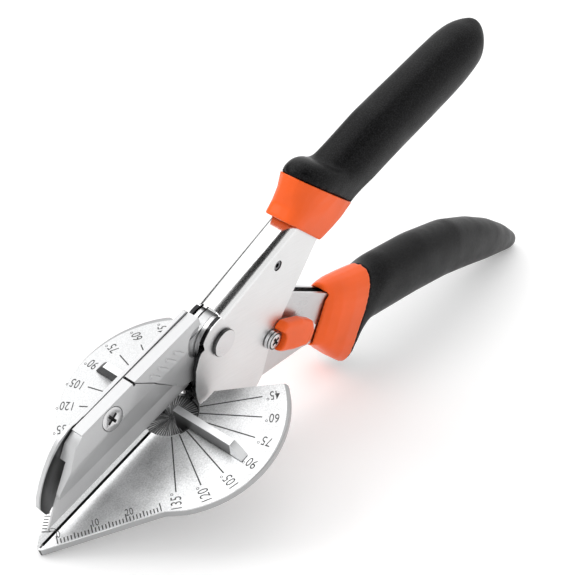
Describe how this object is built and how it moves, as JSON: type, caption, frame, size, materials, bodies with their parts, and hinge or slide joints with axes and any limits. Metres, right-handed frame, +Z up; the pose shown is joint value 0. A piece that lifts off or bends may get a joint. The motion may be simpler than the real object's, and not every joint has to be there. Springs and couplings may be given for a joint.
{
  "type": "mitre shears",
  "caption": "Hand shears for mouldings: pointed protractor base with swivelling fence, fixed upper handle, lower lever with trapezoid blade, and a turning latch.",
  "frame": {"origin": "centre of the bounding box, at its bottom: the plane on which the base's tip and the lower grip lie", "axes": "+X from the base's tip to the handles, -Y to the side with the clamp cover, +Z up"},
  "size_m": [0.2844, 0.0712, 0.1224],
  "materials": {
    "cast_base": "satin cast metal, nickel plated",
    "sheet_steel": "satin nickel plated sheet",
    "polished_sheet": "polished nickel plated sheet",
    "die_cast_head": "satin plated die casting",
    "bright_hardware": "bright plated steel",
    "blade_steel": "ground tool steel",
    "spring_steel": "dark oil tempered steel",
    "orange_plastic": "semi-gloss moulded orange plastic",
    "black_plastic": "fine grained matt black plastic",
    "engraving": "dark filled engraved lines and digits"
  },
  "bodies": {
    "base_arm": {"base_plate": "cast_base", "upper_channel": "polished_sheet", "upper_collar": "orange_plastic", "upper_grip": "black_plastic", "pivot_pin": "bright_hardware", "pivot_washer": "bright_hardware", "base_rivet_1": "bright_hardware", "base_rivet_2": "bright_hardware", "roll_pin": "spring_steel", "return_spring": "spring_steel", "latch_screw": "bright_hardware"},
    "fence_body": {"fence": "cast_base", "fence_washer": "bright_hardware", "fence_screw": "bright_hardware"},
    "cutting_arm": {"lower_arm": "sheet_steel", "lower_collar": "orange_plastic", "lower_grip": "black_plastic", "blade_holder": "die_cast_head", "holder_rivet": "bright_hardware", "clamp_cover": "die_cast_head", "rear_shroud": "die_cast_head", "clamp_screw": "bright_hardware", "blade": "blade_steel", "blade_pin_1": "spring_steel", "blade_pin_2": "spring_steel"},
    "latch": {"latch_hook": "bright_hardware", "latch_lever": "orange_plastic"}
  },
  "joints": [
    {"name": "fence_turn", "type": "hinge", "parent": "base_arm", "child": "fence_body", "pos_m": [-0.0908, 0, 0.025], "axis": [-0.3923, 0, 0.9198], "range_deg": [-45, 45]},
    {"name": "jaw_hinge", "type": "hinge", "parent": "base_arm", "child": "cutting_arm", "pos_m": [-0.07588, 0, 0.04637], "axis": [0, 1, 0], "range_deg": [0, 30]},
    {"name": "latch_hinge", "type": "hinge", "parent": "base_arm", "child": "latch", "pos_m": [-0.05025, 0, 0.03619], "axis": [0, -1, 0], "range_deg": [0, 50]}
  ]
}
